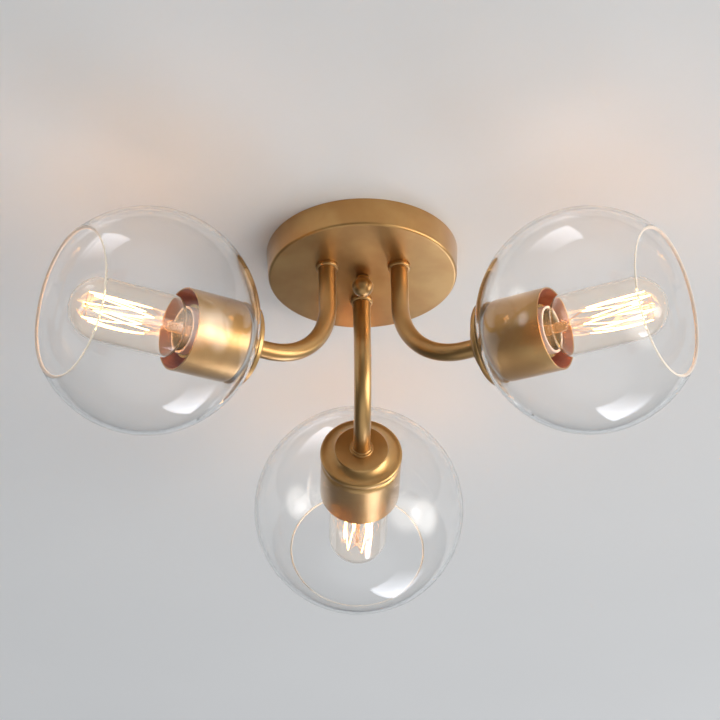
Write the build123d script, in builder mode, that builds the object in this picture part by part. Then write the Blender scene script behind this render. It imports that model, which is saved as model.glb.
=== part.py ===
from build123d import *

import os
from math import asin, cos, pi, radians, sin, sqrt, tan

# A semi flush ceiling light: three arms drop from a round canopy, turn outwards and each carry a
# lamp with a clear open globe. Millimetres, +Z up, origin at the canopy's centre on the ceiling.
# "Reach" is a distance from the canopy's centre line, measured along a lamp's own drooping axis.

# ---- driving dimensions ----
# clearances
SEAT_GAP = 0.3  # between pieces of different moving bodies
RUNNING_GAP = 0.06  # radial, between a thread or guide and the piece that turns or slides on it
CLOSE_GAP = 0.05  # between pieces that stay assembled
HOLE_GAP = 0.3  # radial, between a threaded piece and a hole that it only passes through

# canopy
CANOPY_RADIUS = 65.0
CANOPY_FLARE = 1.0
CANOPY_HEIGHT = 20.5
CANOPY_WALL = 1.2
CANOPY_CORNER = 2.0

# mounting bar behind the canopy and its centre stud
BAR_WIDTH = 19.0
BAR_THICKNESS = 2.0
BAR_SLOT_SPACING = 88.9
BAR_SLOT_LENGTH = 14.0
BAR_SLOT_WIDTH = 4.8
BAR_SLOT_MARGIN = 2.5  # of bar past each slot
STUD_RADIUS = 2.4
STUD_NUT_FLATS = 8.0
STUD_NUT_HEIGHT = 3.0
GROUND_SCREW_OFFSET = 20.0
GROUND_SCREW_RADIUS = 1.9
GROUND_HEAD_RADIUS = 4.2
GROUND_HEAD_HEIGHT = 2.6
FINIAL_RADIUS = 7.2
FINIAL_NECK_RADIUS = 4.6
FINIAL_NECK_LENGTH = 1.6
FINIAL_BORE_DEPTH = 10.5

# arms
ARM_AZIMUTHS = {"back": 90.0, "left": 210.0, "right": 330.0}  # degrees from +X towards +Y
ARM_RADIUS = 28.5  # of the circle of arms on the canopy
ARM_DROP = 101.0  # from the ceiling to the corner that the bend rounds off
ARM_DROOP = 3.5  # degrees below level
TUBE_RADIUS = 6.0
TUBE_WALL = 1.0
ARM_STRAIGHT = 13.2  # along the lamp, from the end of the bend to the cap
TOP_COLLAR_RADIUS = 7.8
TOP_COLLAR_HEIGHT = 3.0
END_COLLAR_RADIUS = 8.2
END_COLLAR_STEP = 1.3  # the narrower step is this much smaller in radius
END_COLLAR_LENGTH = 3.2

# threaded nipples with their nuts and toothed washers
NIPPLE_WALL = 1.2
NIPPLE_ENGAGEMENT = 12.0
NIPPLE_STAND = 7.0  # past the canopy's floor
NUT_FLATS = 14.0
NUT_HEIGHT = 3.0
WASHER_RADIUS = 8.4
WASHER_THICKNESS = 0.8

# glass globe
GLOBE_REACH = 167.5
GLOBE_RADIUS = 75.0
GLOBE_WALL = 2.4
NECK_RADIUS = 21.0
MOUTH_RADIUS = 50.4

# cap behind the globe
CAP_RADIUS = 28.8
CAP_WALL = 1.5
CAP_DISC_RADIUS = 18.7
CAP_DEPTH = 8.2
CAP_RIM_ROUND = 1.7

# gasket and sleeve in front of the globe's neck
GASKET_WIDTH = 3.4
GASKET_THICKNESS = 1.4
SLEEVE_RADIUS = 27.95
SLEEVE_WALL = 1.2
SLEEVE_LENGTH = 42.2
SLEEVE_CORNER = 4.5
SLEEVE_HOLE_RADIUS = 19.0
SPIDER_HUB_WALL = 2.0
SPIDER_HUB_LENGTH = 5.0
SPIDER_TAB_WIDTH = 6.0
SPIDER_TAB_THICKNESS = 1.2
SPIDER_TABS = 3
SPIDER_RECESS = 5.0  # from the socket's mouth to the hub

# lamp socket
SOCKET_RADIUS = 16.0
SOCKET_RECESS = 2.4  # from the sleeve's mouth
SOCKET_DEPTH = 30.0
SOCKET_FLANGE_LENGTH = 2.8
SHELL_RADIUS = 14.0
SHELL_WALL = 0.5
SHELL_SETBACK = 2.0  # from the socket's mouth
SHELL_FLOOR_HOLE = 7.0
CONTACT_RADIUS = 5.5
CONTACT_HEIGHT = 2.7

# bulb: a tube with a domed end on a medium screw base
BASE_RADIUS = 13.15
BASE_WALL = 0.5
BASE_LENGTH = 27.0  # from the contact to the top of the screw shell
BASE_CONTACT_RADIUS = 4.6
BASE_CONTACT_HEIGHT = 1.0
INSULATOR_HEIGHT = 3.6
BULB_RADIUS = 21.0
BULB_WALL = 0.9
BULB_LENGTH = 108.5
BULB_SHOULDER = 10.0
STEM_RADIUS = 3.4
STEM_LENGTH = 30.0
ROD_RADIUS = 1.2
ROD_TIP_RADIUS = 1.9
FILAMENT_LOOPS = 6
FILAMENT_RADIUS = 0.35
FILAMENT_INNER = 8.8
FILAMENT_OUTER = 9.8
FILAMENT_LEAD = 14.7  # from the stem to the back bends
FILAMENT_LENGTH = 43.0

# ---- sizes and places that follow from them ----
canopy_floor = -CANOPY_HEIGHT
nipple_radius = TUBE_RADIUS - TUBE_WALL - CLOSE_GAP
stud_hole = STUD_RADIUS + HOLE_GAP
bar_floor = -BAR_THICKNESS
bar_length = BAR_SLOT_SPACING + BAR_SLOT_LENGTH + 2 * BAR_SLOT_MARGIN

globe_inner = GLOBE_RADIUS - GLOBE_WALL


def back_of_globe(radius, distance):
    """Reach of the back of a sphere about the globe's centre, at a distance from the lamp's axis."""
    return GLOBE_REACH - sqrt(radius**2 - distance**2)


cap_inner = CAP_RADIUS - CAP_WALL
cap_rim = back_of_globe(GLOBE_RADIUS + SEAT_GAP, cap_inner)
cap_face = cap_rim - CAP_DEPTH
cap_back = cap_face + CAP_WALL
cap_cove = CAP_RADIUS - CAP_RIM_ROUND
cap_brim = cap_rim - 2 * CAP_RIM_ROUND
nut_top = cap_back + CLOSE_GAP + NUT_HEIGHT
arm_end = cap_face - CLOSE_GAP
bend_radius = (arm_end - ARM_RADIUS - ARM_STRAIGHT) / tan(radians(90 - ARM_DROOP) / 2)

gasket_inner = NECK_RADIUS + CLOSE_GAP
gasket_outer = gasket_inner + GASKET_WIDTH
gasket_glass = globe_inner - CLOSE_GAP
gasket_front = back_of_globe(gasket_glass, gasket_outer) + GASKET_THICKNESS
sleeve_back = gasket_front + SEAT_GAP
sleeve_mouth = sleeve_back + SLEEVE_LENGTH
sleeve_inner = SLEEVE_RADIUS - SLEEVE_WALL

socket_mouth = sleeve_mouth - SOCKET_RECESS
socket_floor = socket_mouth - SOCKET_DEPTH
socket_back = nut_top + CLOSE_GAP
flange_radius = NECK_RADIUS - SEAT_GAP
flange_back = back_of_globe(GLOBE_RADIUS, NECK_RADIUS) - CLOSE_GAP
flange_front = flange_back + SOCKET_FLANGE_LENGTH
socket_bore = SHELL_RADIUS + CLOSE_GAP
shell_back = socket_floor + CLOSE_GAP
shell_mouth = socket_mouth - SHELL_SETBACK
shell_inner = SHELL_RADIUS - SHELL_WALL
contact_tip = shell_back + CONTACT_HEIGHT
spider_front = socket_mouth - SPIDER_RECESS
spider_hole = SOCKET_RADIUS + RUNNING_GAP
spider_hub = spider_hole + SPIDER_HUB_WALL

bulb_back = contact_tip + SEAT_GAP
base_back = bulb_back + BASE_CONTACT_HEIGHT + INSULATOR_HEIGHT
base_front = bulb_back + BASE_LENGTH
bulb_tip = bulb_back + BULB_LENGTH
dome_reach = bulb_tip - BULB_RADIUS
shoulder_reach = base_front + BULB_SHOULDER
neck_outer = BASE_RADIUS - BASE_WALL - CLOSE_GAP
neck_inner = neck_outer - BULB_WALL
bulb_inner = BULB_RADIUS - BULB_WALL
stem_foot = neck_inner - CLOSE_GAP
stem_back = base_back + INSULATOR_HEIGHT
stem_top = stem_back + STEM_LENGTH
filament_back = stem_top + FILAMENT_LEAD
filament_front = filament_back + FILAMENT_LENGTH
rod_tip = filament_front + FILAMENT_RADIUS + 2 * ROD_TIP_RADIUS


def upright_plane(azimuth):
    """Upright plane of one arm: local x points outwards and local y up, from the canopy's centre."""
    outwards = Vector(cos(radians(azimuth)), sin(radians(azimuth)), 0)
    return Plane(origin=(0, 0, 0), x_dir=outwards, z_dir=outwards.cross(Vector(0, 0, 1)))


def lamp_plane(azimuth):
    """The same plane tilted to the lamp: local x is the reach along its axis, local y the radius."""
    upright = upright_plane(azimuth)
    slope = radians(ARM_DROOP)
    centre = upright.from_local_coords(
        Vector(ARM_RADIUS - ARM_RADIUS * cos(slope), ARM_RADIUS * sin(slope) - ARM_DROP)
    )
    along = upright.x_dir * cos(slope) - upright.y_dir * sin(slope)
    return Plane(origin=centre, x_dir=along, z_dir=upright.z_dir)


def lamp_axis(lamp):
    """Centre line of a lamp."""
    return Axis(lamp.origin, lamp.x_dir)


def cross_plane(lamp, reach):
    """Plane square to a lamp's axis at a reach, facing outwards."""
    return Plane(origin=lamp.origin + lamp.x_dir * reach, x_dir=lamp.z_dir, z_dir=lamp.x_dir)


def save(piece, name):
    """Labels a finished piece and writes its file."""
    piece.part.label = name
    export_step(piece.part, f"parts/{name}.step")


def make_canopy():
    """Spun pan with a rounded floor edge, a stud hole in the middle and a hole for each arm."""
    rim = CANOPY_RADIUS + CANOPY_FLARE
    with BuildPart() as canopy:
        with BuildSketch(Plane.XZ):
            with BuildLine():
                outer = Polyline((0, canopy_floor), (CANOPY_RADIUS, canopy_floor), (rim, 0))
                Line(outer @ 1, (rim - CANOPY_WALL, 0))
                Polyline(
                    (rim - CANOPY_WALL, 0),
                    (CANOPY_RADIUS - CANOPY_WALL, canopy_floor + CANOPY_WALL),
                    (0, canopy_floor + CANOPY_WALL),
                    (0, canopy_floor),
                )
            section = make_face()
            corners = section.vertices().filter_by_position(Axis.X, CANOPY_RADIUS / 2, CANOPY_RADIUS)
            fillet(corners.sort_by(Axis.Z)[0], radius=CANOPY_CORNER)
            fillet(corners.sort_by(Axis.Z)[-1], radius=max(CANOPY_CORNER - CANOPY_WALL, CLOSE_GAP))
        revolve(axis=Axis.Z)
        with Locations((0, 0, canopy_floor)):
            Hole(radius=stud_hole)
            with PolarLocations(ARM_RADIUS, len(ARM_AZIMUTHS), start_angle=ARM_AZIMUTHS["back"]):
                Hole(radius=nipple_radius + HOLE_GAP)
    save(canopy, "canopy")


def make_crossbar():
    """Flat steel bar with two slots for the ceiling box screws and tapped holes along its middle."""
    with BuildPart() as crossbar:
        with BuildSketch(Plane.XY.offset(bar_floor)):
            RectangleRounded(bar_length, BAR_WIDTH, BAR_THICKNESS)
            with GridLocations(BAR_SLOT_SPACING, 0, 2, 1):
                SlotOverall(BAR_SLOT_LENGTH, BAR_SLOT_WIDTH, mode=Mode.SUBTRACT)
            Circle(STUD_RADIUS + CLOSE_GAP, mode=Mode.SUBTRACT)
            with Locations((GROUND_SCREW_OFFSET, 0)):
                Circle(GROUND_SCREW_RADIUS + CLOSE_GAP, mode=Mode.SUBTRACT)
        extrude(amount=BAR_THICKNESS)
    save(crossbar, "crossbar")


def make_ground_screw():
    """Green earth screw: a slotted hexagon head under the bar and a short shank through it."""
    head_floor = bar_floor - CLOSE_GAP - GROUND_HEAD_HEIGHT
    with BuildPart() as ground_screw:
        with BuildSketch(Plane.XY.offset(head_floor)):
            with Locations((GROUND_SCREW_OFFSET, 0)):
                RegularPolygon(GROUND_HEAD_RADIUS, 6)
                Rectangle(2 * GROUND_HEAD_RADIUS, GROUND_HEAD_RADIUS / 5, mode=Mode.SUBTRACT)
        extrude(amount=GROUND_HEAD_HEIGHT / 3)
        with BuildSketch(Plane.XY.offset(head_floor + GROUND_HEAD_HEIGHT / 3)):
            with Locations((GROUND_SCREW_OFFSET, 0)):
                RegularPolygon(GROUND_HEAD_RADIUS, 6)
        extrude(amount=GROUND_HEAD_HEIGHT * 2 / 3)
        with BuildSketch(Plane.XY.offset(head_floor + GROUND_HEAD_HEIGHT)):
            with Locations((GROUND_SCREW_OFFSET, 0)):
                Circle(GROUND_SCREW_RADIUS)
        extrude(amount=BAR_THICKNESS + CLOSE_GAP)
    save(ground_screw, "ground_screw")


def make_centre_stud():
    """Threaded stud from the bar down through the canopy into the finial."""
    bottom = canopy_floor - FINIAL_BORE_DEPTH + SEAT_GAP
    with BuildPart() as centre_stud:
        with BuildSketch(Plane.XY.offset(bottom)):
            Circle(STUD_RADIUS)
        extrude(amount=-bottom)
        chamfer(centre_stud.edges().sort_by(Axis.Z)[0], length=STUD_RADIUS / 5)
    save(centre_stud, "centre_stud")


def make_stud_nut():
    """Hexagon nut that locks the stud under the bar."""
    with BuildPart() as stud_nut:
        with BuildSketch(Plane.XY.offset(bar_floor - CLOSE_GAP)):
            RegularPolygon(STUD_NUT_FLATS / 2, 6, major_radius=False)
            Circle(STUD_RADIUS + CLOSE_GAP, mode=Mode.SUBTRACT)
        extrude(amount=-STUD_NUT_HEIGHT)
    save(stud_nut, "stud_nut")


def make_ball_finial():
    """Turned ball on a short neck, with a blind threaded hole."""
    neck_top = canopy_floor - SEAT_GAP
    ball = neck_top - FINIAL_NECK_LENGTH - sqrt(FINIAL_RADIUS**2 - FINIAL_NECK_RADIUS**2)
    with BuildPart() as ball_finial:
        with BuildSketch(Plane.XY.offset(neck_top)):
            Circle(FINIAL_NECK_RADIUS)
        extrude(amount=ball - neck_top)
        with BuildSketch(Plane.XZ):
            with BuildLine():
                Line((0, ball - FINIAL_RADIUS), (0, ball + FINIAL_RADIUS))
                ThreePointArc((0, ball + FINIAL_RADIUS), (FINIAL_RADIUS, ball), (0, ball - FINIAL_RADIUS))
            make_face()
        revolve(axis=Axis.Z)
        with BuildSketch(Plane.XY.offset(neck_top)):
            Circle(STUD_RADIUS + RUNNING_GAP)
        extrude(amount=-FINIAL_BORE_DEPTH, mode=Mode.SUBTRACT)
        split(bisect_by=Plane.XY.offset(neck_top), keep=Keep.BOTTOM)
    save(ball_finial, "ball_finial")


def make_arm_fasteners():
    """The three nipples, washers and nuts that hold the arms inside the canopy."""
    floor = canopy_floor + CANOPY_WALL
    washer_top = floor + CLOSE_GAP + WASHER_THICKNESS
    holes = nipple_radius + CLOSE_GAP
    with BuildPart() as arm_nipples:
        with BuildSketch(Plane.XY.offset(canopy_floor - NIPPLE_ENGAGEMENT)):
            with PolarLocations(ARM_RADIUS, len(ARM_AZIMUTHS), start_angle=ARM_AZIMUTHS["back"]):
                Circle(nipple_radius)
                Circle(nipple_radius - NIPPLE_WALL, mode=Mode.SUBTRACT)
        extrude(amount=NIPPLE_ENGAGEMENT + CANOPY_WALL + NIPPLE_STAND)
    save(arm_nipples, "arm_nipples")
    with BuildPart() as arm_washers:
        with BuildSketch(Plane.XY.offset(washer_top - WASHER_THICKNESS)):
            with PolarLocations(ARM_RADIUS, len(ARM_AZIMUTHS), start_angle=ARM_AZIMUTHS["back"]):
                Circle(WASHER_RADIUS)
                Circle(holes, mode=Mode.SUBTRACT)
        extrude(amount=WASHER_THICKNESS)
    save(arm_washers, "arm_washers")
    with BuildPart() as arm_nuts:
        with BuildSketch(Plane.XY.offset(washer_top + CLOSE_GAP)):
            with PolarLocations(ARM_RADIUS, len(ARM_AZIMUTHS), start_angle=ARM_AZIMUTHS["back"]):
                RegularPolygon(NUT_FLATS / 2, 6, major_radius=False)
                Circle(holes, mode=Mode.SUBTRACT)
        extrude(amount=NUT_HEIGHT)
    save(arm_nuts, "arm_nuts")


def make_lamp_fasteners():
    """The nipple that joins each arm to its socket through the cap, and the nut inside the cap."""
    nipple_back = arm_end - NIPPLE_ENGAGEMENT
    with BuildPart() as lamp_nipples:
        for azimuth in ARM_AZIMUTHS.values():
            with BuildSketch(cross_plane(lamp_plane(azimuth), nipple_back)):
                Circle(nipple_radius)
                Circle(nipple_radius - NIPPLE_WALL, mode=Mode.SUBTRACT)
            extrude(amount=socket_back + NIPPLE_STAND - nipple_back)
    save(lamp_nipples, "lamp_nipples")
    with BuildPart() as cap_nuts:
        for azimuth in ARM_AZIMUTHS.values():
            with BuildSketch(cross_plane(lamp_plane(azimuth), nut_top - NUT_HEIGHT)):
                RegularPolygon(NUT_FLATS / 2, 6, major_radius=False)
                Circle(nipple_radius + CLOSE_GAP, mode=Mode.SUBTRACT)
            extrude(amount=NUT_HEIGHT)
    save(cap_nuts, "cap_nuts")


def make_arm_tube(side, azimuth):
    """Drawn tube that drops from the canopy, turns outwards in one wide bend and droops a little."""
    upright = upright_plane(azimuth)
    top = (ARM_RADIUS, canopy_floor - CLOSE_GAP)
    corner = (ARM_RADIUS, -ARM_DROP)
    run = arm_end - ARM_RADIUS
    end = (ARM_RADIUS + run * cos(radians(ARM_DROOP)), -ARM_DROP - run * sin(radians(ARM_DROOP)))
    with BuildPart() as arm_tube:
        with BuildLine(upright) as route:
            FilletPolyline(top, corner, end, radius=bend_radius)
        with BuildSketch(Plane(upright.from_local_coords(Vector(*top)), z_dir=(0, 0, -1))):
            Circle(TUBE_RADIUS)
            Circle(TUBE_RADIUS - TUBE_WALL, mode=Mode.SUBTRACT)
        sweep(path=route.line)
    save(arm_tube, f"{side}_arm_tube")


def make_top_collar(side, azimuth):
    """Rounded ring around the arm's top end, under the canopy."""
    foot = upright_plane(azimuth).from_local_coords(Vector(ARM_RADIUS, canopy_floor - CLOSE_GAP))
    with BuildPart() as top_collar:
        with BuildSketch(Plane(foot)):
            Circle(TOP_COLLAR_RADIUS)
            Circle(TUBE_RADIUS + CLOSE_GAP, mode=Mode.SUBTRACT)
        extrude(amount=-TOP_COLLAR_HEIGHT)
        lower = top_collar.edges().group_by(Axis.Z)[0].sort_by(SortBy.RADIUS)[-1]
        fillet(lower, radius=(TOP_COLLAR_RADIUS - TUBE_RADIUS) * 0.7)
    save(top_collar, f"{side}_top_collar")


def make_end_collar(side, lamp):
    """Stepped ring around the arm's outer end, against the cap."""
    step = END_COLLAR_RADIUS - END_COLLAR_STEP
    back = arm_end - END_COLLAR_LENGTH
    middle = arm_end - END_COLLAR_LENGTH / 2
    bore = TUBE_RADIUS + CLOSE_GAP
    edge = (step - bore) / 2
    with BuildPart() as end_collar:
        with BuildSketch(lamp):
            with BuildLine():
                Polyline((back + edge, step), (middle, step))
                ThreePointArc(
                    (middle, step),
                    (middle + (arm_end - middle) * 0.3, END_COLLAR_RADIUS - END_COLLAR_STEP * 0.3),
                    ((middle + arm_end) / 2, END_COLLAR_RADIUS),
                )
                Polyline(
                    ((middle + arm_end) / 2, END_COLLAR_RADIUS),
                    (arm_end, END_COLLAR_RADIUS),
                    (arm_end, bore),
                    (back, bore),
                    (back, step - edge),
                    (back + edge, step),
                )
            make_face()
        revolve(axis=lamp_axis(lamp))
    save(end_collar, f"{side}_end_collar")


def make_cap(side, lamp):
    """Spun cap: flat disc, hollow cove and rounded rim, dished inside to sit over the globe's back."""
    cove_mid = (CAP_DISC_RADIUS + cap_cove) / 2
    with BuildPart() as cap:
        with BuildSketch(lamp):
            with BuildLine():
                Line((cap_face, nipple_radius + HOLE_GAP), (cap_face, CAP_DISC_RADIUS))
                ThreePointArc(
                    (cap_face, CAP_DISC_RADIUS),
                    (cap_face + (cap_brim - cap_face) * 0.72, cove_mid - CAP_WALL / 2),
                    (cap_brim, cap_cove),
                )
                ThreePointArc(
                    (cap_brim, cap_cove),
                    (cap_brim + CAP_RIM_ROUND * (1 - sqrt(0.5)), CAP_RADIUS - CAP_RIM_ROUND * (1 - sqrt(0.5))),
                    (cap_brim + CAP_RIM_ROUND, CAP_RADIUS),
                )
                Polyline(
                    (cap_brim + CAP_RIM_ROUND, CAP_RADIUS),
                    (cap_rim, CAP_RADIUS),
                    (cap_rim, cap_inner),
                    (cap_brim + CAP_WALL, cap_inner),
                    (cap_brim + CAP_WALL, cove_mid),
                    (cap_back, CAP_DISC_RADIUS - CAP_WALL),
                    (cap_back, nipple_radius + HOLE_GAP),
                    (cap_face, nipple_radius + HOLE_GAP),
                )
            make_face()
        revolve(axis=lamp_axis(lamp))
    save(cap, f"{side}_cap")


def make_globe(side, lamp):
    """Blown glass globe with a ground neck hole behind and a wide fire-polished mouth in front."""
    mouth = asin(MOUTH_RADIUS / GLOBE_RADIUS)
    lip = mouth - GLOBE_WALL / 2 / GLOBE_RADIUS

    def on_sphere(radius, angle):
        return (GLOBE_REACH + radius * cos(angle), radius * sin(angle))

    outer_neck = (back_of_globe(GLOBE_RADIUS, NECK_RADIUS), NECK_RADIUS)
    inner_neck = (back_of_globe(globe_inner, NECK_RADIUS), NECK_RADIUS)
    outer_mouth = on_sphere(GLOBE_RADIUS, mouth)
    inner_mouth = on_sphere(globe_inner, mouth)
    with BuildPart() as globe:
        with BuildSketch(lamp):
            with BuildLine():
                ThreePointArc(outer_neck, on_sphere(GLOBE_RADIUS, pi / 2), outer_mouth)
                ThreePointArc(outer_mouth, on_sphere(GLOBE_RADIUS - GLOBE_WALL / 2, lip), inner_mouth)
                ThreePointArc(inner_mouth, on_sphere(globe_inner, pi / 2), inner_neck)
                Line(inner_neck, outer_neck)
            make_face()
        revolve(axis=lamp_axis(lamp))
    save(globe, f"{side}_globe")


def make_gasket(side, lamp):
    """Silicone ring that beds on the inside of the glass around the neck hole."""
    middle = (gasket_inner + gasket_outer) / 2
    with BuildPart() as gasket:
        with BuildSketch(lamp):
            with BuildLine():
                ThreePointArc(
                    (back_of_globe(gasket_glass, gasket_inner), gasket_inner),
                    (back_of_globe(gasket_glass, middle), middle),
                    (back_of_globe(gasket_glass, gasket_outer), gasket_outer),
                )
                Polyline(
                    (back_of_globe(gasket_glass, gasket_outer), gasket_outer),
                    (gasket_front, gasket_outer),
                    (gasket_front, gasket_inner),
                    (back_of_globe(gasket_glass, gasket_inner), gasket_inner),
                )
            make_face()
        revolve(axis=lamp_axis(lamp))
    save(gasket, f"{side}_gasket")


def make_sleeve(side, lamp):
    """Drawn cup that covers the socket and clamps the globe, with rounded corners at its back."""
    with BuildPart() as sleeve:
        with BuildSketch(lamp):
            with BuildLine():
                FilletPolyline(
                    (sleeve_back, SLEEVE_HOLE_RADIUS),
                    (sleeve_back, SLEEVE_RADIUS),
                    (sleeve_mouth, SLEEVE_RADIUS),
                    radius=SLEEVE_CORNER,
                )
                Line((sleeve_mouth, SLEEVE_RADIUS), (sleeve_mouth, sleeve_inner))
                FilletPolyline(
                    (sleeve_mouth, sleeve_inner),
                    (sleeve_back + SLEEVE_WALL, sleeve_inner),
                    (sleeve_back + SLEEVE_WALL, SLEEVE_HOLE_RADIUS),
                    radius=SLEEVE_CORNER - SLEEVE_WALL,
                )
                Line((sleeve_back + SLEEVE_WALL, SLEEVE_HOLE_RADIUS), (sleeve_back, SLEEVE_HOLE_RADIUS))
            make_face()
        revolve(axis=lamp_axis(lamp))
        mouth_edges = sleeve.edges().filter_by(GeomType.CIRCLE).group_by(lamp_axis(lamp))[-1]
        fillet(mouth_edges, radius=SLEEVE_WALL / 3)
    save(sleeve, f"{side}_sleeve")


def make_spider(side, lamp):
    """Threaded hub on the socket with tabs out to the sleeve's wall."""
    with BuildPart() as spider:
        with BuildSketch(cross_plane(lamp, spider_front - SPIDER_TAB_THICKNESS)):
            Circle(spider_hub)
            with PolarLocations(sleeve_inner / 2, SPIDER_TABS, start_angle=90):
                Rectangle(sleeve_inner, SPIDER_TAB_WIDTH)
            Circle(sleeve_inner - CLOSE_GAP, mode=Mode.INTERSECT)
            Circle(spider_hole, mode=Mode.SUBTRACT)
        extrude(amount=SPIDER_TAB_THICKNESS)
        with BuildSketch(cross_plane(lamp, spider_front - SPIDER_TAB_THICKNESS)):
            Circle(spider_hub)
            Circle(spider_hole, mode=Mode.SUBTRACT)
        extrude(amount=SPIDER_TAB_THICKNESS - SPIDER_HUB_LENGTH)
    save(spider, f"{side}_spider")


def make_socket_body(side, lamp):
    """Moulded socket: a flange that centres the neck hole, a threaded barrel and a deep round cavity."""
    bore = nipple_radius + CLOSE_GAP
    with BuildPart() as socket_body:
        with BuildSketch(lamp):
            with BuildLine():
                Polyline(
                    (socket_back, bore),
                    (socket_back, SOCKET_RADIUS),
                    (flange_back, SOCKET_RADIUS),
                    (flange_back, flange_radius),
                    (flange_front, flange_radius),
                    (flange_front, SOCKET_RADIUS),
                    (socket_mouth, SOCKET_RADIUS),
                    (socket_mouth, socket_bore),
                    (socket_floor, socket_bore),
                    (socket_floor, bore),
                    (socket_back, bore),
                )
            make_face()
        revolve(axis=lamp_axis(lamp))
        rim = socket_body.edges().filter_by(GeomType.CIRCLE).group_by(lamp_axis(lamp))[-1]
        fillet(rim, radius=(SOCKET_RADIUS - socket_bore) / 3)
    save(socket_body, f"{side}_socket_body")


def make_socket_shell(side, lamp):
    """Brass screw shell with a holed floor."""
    with BuildPart() as socket_shell:
        with BuildSketch(lamp):
            with BuildLine():
                Polyline(
                    (shell_back, SHELL_FLOOR_HOLE),
                    (shell_back, SHELL_RADIUS),
                    (shell_mouth, SHELL_RADIUS),
                    (shell_mouth, shell_inner),
                    (shell_back + SHELL_WALL, shell_inner),
                    (shell_back + SHELL_WALL, SHELL_FLOOR_HOLE),
                    (shell_back, SHELL_FLOOR_HOLE),
                )
            make_face()
        revolve(axis=lamp_axis(lamp))
    save(socket_shell, f"{side}_socket_shell")


def make_centre_contact(side, lamp):
    """Sprung brass contact on the socket's floor, domed towards the bulb."""
    edge = CONTACT_RADIUS * 0.55
    shelf = shell_back + SHELL_WALL
    rise = contact_tip - shelf
    with BuildPart() as centre_contact:
        with BuildSketch(lamp):
            with BuildLine():
                Polyline(
                    (contact_tip, 0),
                    (shell_back, 0),
                    (shell_back, CONTACT_RADIUS),
                    (shelf, CONTACT_RADIUS),
                    (shelf, edge),
                )
                RadiusArc((shelf, edge), (contact_tip, 0), (edge**2 + rise**2) / (2 * rise))
            make_face()
        revolve(axis=lamp_axis(lamp))
    save(centre_contact, f"{side}_centre_contact")


def make_bulb_insulator(side, lamp):
    """Dark glass cone at the base's end, with the solder contact in its middle."""
    cone_back = bulb_back + BASE_CONTACT_HEIGHT
    with BuildPart() as bulb_insulator:
        with BuildSketch(lamp):
            with BuildLine():
                ThreePointArc(
                    (bulb_back, 0),
                    (bulb_back + BASE_CONTACT_HEIGHT * 0.3, BASE_CONTACT_RADIUS * 0.7),
                    (cone_back, BASE_CONTACT_RADIUS),
                )
                Polyline(
                    (cone_back, BASE_CONTACT_RADIUS),
                    (base_back - CLOSE_GAP, BASE_RADIUS - 2 * BASE_WALL),
                    (base_back - CLOSE_GAP, 0),
                    (bulb_back, 0),
                )
            make_face()
        revolve(axis=lamp_axis(lamp))
    save(bulb_insulator, f"{side}_bulb_insulator")


def make_bulb_base(side, lamp):
    """Thin screw shell cemented on the bulb's neck."""
    inner = BASE_RADIUS - BASE_WALL
    hole = BASE_RADIUS - 2 * BASE_WALL
    with BuildPart() as bulb_base:
        with BuildSketch(lamp):
            with BuildLine():
                Polyline(
                    (base_back, hole),
                    (base_back + BASE_WALL, BASE_RADIUS),
                    (base_front, BASE_RADIUS),
                    (base_front, inner),
                    (base_back + 2 * BASE_WALL, inner),
                    (base_back + BASE_WALL, hole),
                    (base_back, hole),
                )
            make_face()
        revolve(axis=lamp_axis(lamp))
    save(bulb_base, f"{side}_bulb_base")


def make_bulb_glass(side, lamp):
    """Clear tubular bulb: neck in the base, smooth shoulder, straight tube and domed end."""

    def wall(line_radius, neck, tip):
        shoulder_mid = (base_front + shoulder_reach) / 2
        radius_mid = (line_radius + neck) / 2
        Line((neck_back, neck), (base_front, neck))
        Spline(
            (base_front, neck),
            (shoulder_mid, radius_mid),
            (shoulder_reach, line_radius),
            tangents=((1, 0), (1, 0)),
        )
        Line((shoulder_reach, line_radius), (dome_reach, line_radius))
        RadiusArc((dome_reach, line_radius), (tip, 0), line_radius)

    neck_back = base_back + 2 * BASE_WALL + CLOSE_GAP
    with BuildPart() as bulb_glass:
        with BuildSketch(lamp):
            with BuildLine():
                wall(BULB_RADIUS, neck_outer, bulb_tip)
                Line((bulb_tip, 0), (bulb_tip - BULB_WALL, 0))
                wall(bulb_inner, neck_inner, bulb_tip - BULB_WALL)
                Line((neck_back, neck_inner), (neck_back, neck_outer))
            make_face()
        revolve(axis=lamp_axis(lamp))
    save(bulb_glass, f"{side}_bulb_glass")


def make_bulb_stem(side, lamp):
    """Flared glass stem sealed in the neck, carrying a slim rod with a small ball at its tip."""
    rod_back = stem_top - STEM_RADIUS / 2
    ball_reach = rod_tip - ROD_TIP_RADIUS
    ball_start = ball_reach - sqrt(ROD_TIP_RADIUS**2 - ROD_RADIUS**2)
    with BuildPart() as bulb_stem:
        with BuildSketch(lamp):
            with BuildLine():
                Polyline((rod_tip, 0), (stem_back, 0), (stem_back, stem_foot))
                Spline(
                    (stem_back, stem_foot),
                    (stem_back + stem_foot, STEM_RADIUS),
                    tangents=((1, -1), (1, 0)),
                )
                Line((stem_back + stem_foot, STEM_RADIUS), (rod_back, STEM_RADIUS))
                Line((rod_back, STEM_RADIUS), (stem_top, ROD_RADIUS))
                Line((stem_top, ROD_RADIUS), (ball_start, ROD_RADIUS))
                ThreePointArc((ball_start, ROD_RADIUS), (ball_reach, ROD_TIP_RADIUS), (rod_tip, 0))
            make_face()
        revolve(axis=lamp_axis(lamp))
    save(bulb_stem, f"{side}_bulb_stem")


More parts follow.
